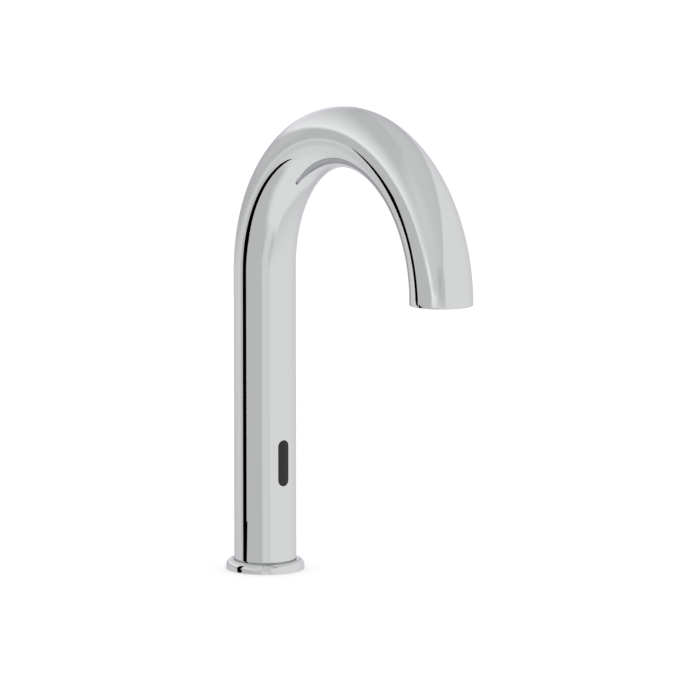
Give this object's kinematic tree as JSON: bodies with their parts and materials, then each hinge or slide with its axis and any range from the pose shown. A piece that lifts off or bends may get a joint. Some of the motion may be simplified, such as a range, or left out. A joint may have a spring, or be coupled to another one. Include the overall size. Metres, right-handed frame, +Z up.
{
  "type": "sensor tap",
  "caption": "Touchless chrome swan-neck basin tap on a round base ring, with an infrared window in the column, a solenoid valve inside and an aerator in the outlet.",
  "frame": {"origin": "centre of the base's underside, on the deck plane, on the column's axis", "axes": "+Z up along the column; the spout reaches out and the sensor looks along -Y; +X is to the tap's left seen by its user, the mid plane is X = 0"},
  "size_m": [0.0504, 0.2298, 0.307],
  "materials": {
    "chrome": "polished chrome plate on brass",
    "lens": "dark infrared-clear plastic, glossy",
    "rubber": "black rubber",
    "silicone": "red silicone rubber",
    "brass": "machined brass",
    "steel": "stainless steel",
    "copper": "enamelled copper wire",
    "white_plastic": "moulded acetal",
    "grey_plastic": "moulded plastic",
    "black_plastic": "moulded black plastic",
    "tube_plastic": "translucent polyethylene tube",
    "board": "lacquered circuit board",
    "diode": "clear tinted epoxy",
    "cable": "black lead sheath"
  },
  "bodies": {
    "tap": {"spout_body": "chrome", "base_ring": "chrome", "deck_gasket": "rubber", "base_insert": "brass", "inlet_strainer": "steel", "power_connector": "black_plastic", "valve_block": "white_plastic", "inlet_seal": "rubber", "passage_plug": "brass", "diaphragm": "rubber", "valve_bonnet": "grey_plastic", "valve_screws": "steel", "guide_seal": "rubber", "guide_tube": "steel", "plunger_spring": "steel", "fixed_core": "steel", "coil_bobbin": "black_plastic", "coil_winding": "copper", "coil_frame": "steel", "coil_nut": "steel", "spout_tube": "tube_plastic", "lower_tube_nut": "brass", "upper_tube_nut": "brass", "sensor_window": "lens", "window_gasket": "rubber", "sensor_housing": "black_plastic", "sensor_board": "board", "infrared_emitter": "diode", "infrared_receiver": "diode", "sensor_cover": "black_plastic", "sensor_wedge": "grey_plastic", "power_lead": "cable", "valve_lead": "cable", "aerator_carrier": "brass", "carrier_seal": "rubber", "aerator_housing": "grey_plastic", "aerator_seal": "rubber", "flow_regulator": "white_plastic", "aerator_diffuser": "white_plastic", "aerator_screen": "steel", "outlet_grid": "grey_plastic"},
    "armature": {"plunger": "steel", "pilot_seal": "silicone"},
    "diaphragm_centre": {"diaphragm_disc": "white_plastic"}
  },
  "joints": [
    {"name": "plunger_lift", "type": "slide", "parent": "tap", "child": "armature", "axis": [0, 0, 1], "range_m": [0, 0.0024], "stiffness_N_per_m": 150, "springref_m": -0.004, "deforming": ["plunger_spring"]},
    {"name": "diaphragm_lift", "type": "slide", "parent": "tap", "child": "diaphragm_centre", "axis": [0, 0, 1], "range_m": [0, 0.0012], "deforming": ["diaphragm"]}
  ],
  "couplings": [
    {"joint": "diaphragm_lift", "follows": "plunger_lift", "ratio": 0.5}
  ]
}
